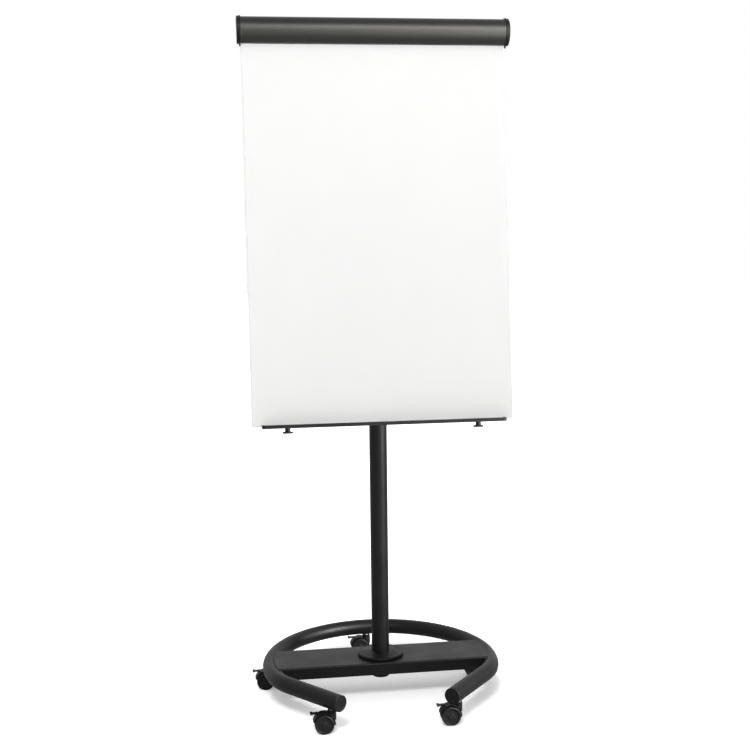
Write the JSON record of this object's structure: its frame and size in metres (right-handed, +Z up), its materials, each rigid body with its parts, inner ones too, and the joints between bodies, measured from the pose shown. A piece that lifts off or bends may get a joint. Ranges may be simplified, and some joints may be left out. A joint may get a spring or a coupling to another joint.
{
  "type": "flip chart easel",
  "caption": "Mobile flip chart easel: white magnetic board with pad clamp and pen tray on a telescopic post, standing on an open ring base with braked casters.",
  "frame": {"origin": "on the floor at the middle of the footprint; the axis of the post stands 15 mm ahead of it, towards -Y", "axes": "+Z up, -Y towards the user in front of the board, +X to the right of a user who faces the board"},
  "size_m": [0.7116, 0.6216, 1.8208],
  "materials": {
    "black_powder_coat": "satin black powder coat",
    "black_plastic": "moulded black plastic, fine grain",
    "wheel_plastic": "matte black nylon",
    "anodised_rail": "satin dark grey anodised extrusion",
    "white_enamel": "gloss white dry-wipe enamel",
    "pale_trim": "pale grey edge strip",
    "board_core": "pressed board",
    "zinc_steel": "zinc plated",
    "grip_rubber": "matt black rubber"
  },
  "bodies": {
    "base": {"base_ring": "black_powder_coat", "ring_cap_left": "black_plastic", "ring_cap_right": "black_plastic", "crossbar": "black_powder_coat", "post_flange": "black_plastic", "outer_post": "black_powder_coat", "post_bottom_cap": "black_plastic", "height_collar": "black_plastic", "caster_front_left_stem": "zinc_steel", "caster_front_right_stem": "zinc_steel", "caster_side_left_stem": "zinc_steel", "caster_side_right_stem": "zinc_steel", "caster_rear_stem": "zinc_steel"},
    "inner_post": {"inner_post": "black_powder_coat", "guide_bush": "black_plastic"},
    "turning_head": {"swivel_head": "black_powder_coat", "tilt_washer_left": "grip_rubber", "tilt_washer_right": "grip_rubber"},
    "board": {"board_bracket": "black_powder_coat", "tilt_shaft": "zinc_steel", "board_face": "white_enamel", "board_core": "board_core", "board_back": "zinc_steel", "board_edge_trim": "pale_trim", "clamp_back_rail": "anodised_rail", "clamp_pin_left": "zinc_steel", "clamp_pin_right": "zinc_steel", "pen_tray": "black_powder_coat"},
    "clamp_cover": {"clamp_cover": "anodised_rail", "clamp_cap_left": "black_plastic", "clamp_cap_right": "black_plastic", "clamp_grip_strip": "grip_rubber"},
    "hook_left": {"pad_hook_left": "black_plastic"},
    "hook_right": {"pad_hook_right": "black_plastic"},
    "tilt_lever": {"tilt_lever": "black_plastic"},
    "height_knob": {"height_knob": "black_plastic"},
    "tray_knob_left": {"tray_knob_left": "black_plastic"},
    "tray_knob_right": {"tray_knob_right": "black_plastic"},
    "caster_front_left": {"caster_front_left_housing": "black_plastic"},
    "wheel_front_left_front": {"caster_front_left_wheel_front": "wheel_plastic"},
    "wheel_front_left_back": {"caster_front_left_wheel_back": "wheel_plastic"},
    "brake_front_left": {"caster_front_left_brake": "black_plastic"},
    "caster_front_right": {"caster_front_right_housing": "black_plastic"},
    "wheel_front_right_front": {"caster_front_right_wheel_front": "wheel_plastic"},
    "wheel_front_right_back": {"caster_front_right_wheel_back": "wheel_plastic"},
    "brake_front_right": {"caster_front_right_brake": "black_plastic"},
    "caster_side_left": {"caster_side_left_housing": "black_plastic"},
    "wheel_side_left_front": {"caster_side_left_wheel_front": "wheel_plastic"},
    "wheel_side_left_back": {"caster_side_left_wheel_back": "wheel_plastic"},
    "brake_side_left": {"caster_side_left_brake": "black_plastic"},
    "caster_side_right": {"caster_side_right_housing": "black_plastic"},
    "wheel_side_right_front": {"caster_side_right_wheel_front": "wheel_plastic"},
    "wheel_side_right_back": {"caster_side_right_wheel_back": "wheel_plastic"},
    "brake_side_right": {"caster_side_right_brake": "black_plastic"},
    "caster_rear": {"caster_rear_housing": "black_plastic"},
    "wheel_rear_front": {"caster_rear_wheel_front": "wheel_plastic"},
    "wheel_rear_back": {"caster_rear_wheel_back": "wheel_plastic"},
    "brake_rear": {"caster_rear_brake": "black_plastic"}
  },
  "joints": [
    {"name": "board_height", "type": "slide", "parent": "base", "child": "inner_post", "axis": [0, 0, 1], "range_m": [-0.17, 0.2]},
    {"name": "board_swivel", "type": "hinge", "parent": "inner_post", "child": "turning_head", "pos_m": [0, -0.01469, 1.24], "axis": [0, 0, 1], "continuous": true},
    {"name": "board_tilt", "type": "hinge", "parent": "turning_head", "child": "board", "pos_m": [0, -0.01469, 1.281], "axis": [-1, 0, 0], "range_deg": [-6.6, 83.4]},
    {"name": "clamp_cover", "type": "hinge", "parent": "board", "child": "clamp_cover", "pos_m": [0, -0.01196, 1.80919], "axis": [-1, 0, 0], "range_deg": [0, 90]},
    {"name": "hook_left", "type": "slide", "parent": "board", "child": "hook_left", "axis": [1, 0, 0], "range_m": [-0.08, 0.08]},
    {"name": "hook_right", "type": "slide", "parent": "board", "child": "hook_right", "axis": [1, 0, 0], "range_m": [-0.08, 0.08]},
    {"name": "knob_height", "type": "hinge", "parent": "base", "child": "height_knob", "pos_m": [0, 0.04531, 1.017], "axis": [0, 1, 0], "continuous": true},
    {"name": "knob_tray_left", "type": "hinge", "parent": "board", "child": "tray_knob_left", "pos_m": [-0.252, -0.12944, 0.7547], "axis": [0, 0.1149, 0.9934], "continuous": true},
    {"name": "knob_tray_right", "type": "hinge", "parent": "board", "child": "tray_knob_right", "pos_m": [0.252, -0.12944, 0.7547], "axis": [0, 0.1149, 0.9934], "continuous": true},
    {"name": "lever_tilt", "type": "hinge", "parent": "board", "child": "tilt_lever", "pos_m": [0.03, -0.01469, 1.281], "axis": [1, 0, 0], "range_deg": [0, 90]},
    {"name": "swivel_front_left", "type": "hinge", "parent": "base", "child": "caster_front_left", "pos_m": [-0.16417, -0.27197, 0.061], "axis": [0, 0, 1], "continuous": true},
    {"name": "wheel_front_left_front", "type": "hinge", "parent": "caster_front_left", "child": "wheel_front_left_front", "pos_m": [-0.18417, -0.28347, 0.025], "axis": [0, 1, 0], "continuous": true},
    {"name": "wheel_front_left_back", "type": "hinge", "parent": "caster_front_left", "child": "wheel_front_left_back", "pos_m": [-0.18417, -0.26047, 0.025], "axis": [0, 1, 0], "continuous": true},
    {"name": "pedal_front_left", "type": "hinge", "parent": "caster_front_left", "child": "brake_front_left", "pos_m": [-0.20217, -0.27197, 0.0514], "axis": [0, -1, 0], "range_deg": [0, 15]},
    {"name": "swivel_front_right", "type": "hinge", "parent": "base", "child": "caster_front_right", "pos_m": [0.16417, -0.27197, 0.061], "axis": [0, 0, 1], "continuous": true},
    {"name": "wheel_front_right_front", "type": "hinge", "parent": "caster_front_right", "child": "wheel_front_right_front", "pos_m": [0.14417, -0.28347, 0.025], "axis": [0, 1, 0], "continuous": true},
    {"name": "wheel_front_right_back", "type": "hinge", "parent": "caster_front_right", "child": "wheel_front_right_back", "pos_m": [0.14417, -0.26047, 0.025], "axis": [0, 1, 0], "continuous": true},
    {"name": "pedal_front_right", "type": "hinge", "parent": "caster_front_right", "child": "brake_front_right", "pos_m": [0.12617, -0.27197, 0.0514], "axis": [0, -1, 0], "range_deg": [0, 15]},
    {"name": "swivel_side_left", "type": "hinge", "parent": "base", "child": "caster_side_left", "pos_m": [-0.2956, 0.05628, 0.061], "axis": [0, 0, 1], "continuous": true},
    {"name": "wheel_side_left_front", "type": "hinge", "parent": "caster_side_left", "child": "wheel_side_left_front", "pos_m": [-0.3156, 0.04478, 0.025], "axis": [0, 1, 0], "continuous": true},
    {"name": "wheel_side_left_back", "type": "hinge", "parent": "caster_side_left", "child": "wheel_side_left_back", "pos_m": [-0.3156, 0.06778, 0.025], "axis": [0, 1, 0], "continuous": true},
    {"name": "pedal_side_left", "type": "hinge", "parent": "caster_side_left", "child": "brake_side_left", "pos_m": [-0.3336, 0.05628, 0.0514], "axis": [0, -1, 0], "range_deg": [0, 15]},
    {"name": "swivel_side_right", "type": "hinge", "parent": "base", "child": "caster_side_right", "pos_m": [0.2956, 0.05628, 0.061], "axis": [0, 0, 1], "continuous": true},
    {"name": "wheel_side_right_front", "type": "hinge", "parent": "caster_side_right", "child": "wheel_side_right_front", "pos_m": [0.2756, 0.04478, 0.025], "axis": [0, 1, 0], "continuous": true},
    {"name": "wheel_side_right_back", "type": "hinge", "parent": "caster_side_right", "child": "wheel_side_right_back", "pos_m": [0.2756, 0.06778, 0.025], "axis": [0, 1, 0], "continuous": true},
    {"name": "pedal_side_right", "type": "hinge", "parent": "caster_side_right", "child": "brake_side_right", "pos_m": [0.2576, 0.05628, 0.0514], "axis": [0, -1, 0], "range_deg": [0, 15]},
    {"name": "swivel_rear", "type": "hinge", "parent": "base", "child": "caster_rear", "pos_m": [0, 0.28931, 0.061], "axis": [0, 0, 1], "continuous": true},
    {"name": "wheel_rear_front", "type": "hinge", "parent": "caster_rear", "child": "wheel_rear_front", "pos_m": [-0.02, 0.27781, 0.025], "axis": [0, 1, 0], "continuous": true},
    {"name": "wheel_rear_back", "type": "hinge", "parent": "caster_rear", "child": "wheel_rear_back", "pos_m": [-0.02, 0.30081, 0.025], "axis": [0, 1, 0], "continuous": true},
    {"name": "pedal_rear", "type": "hinge", "parent": "caster_rear", "child": "brake_rear", "pos_m": [-0.038, 0.28931, 0.0514], "axis": [0, -1, 0], "range_deg": [0, 15]}
  ]
}
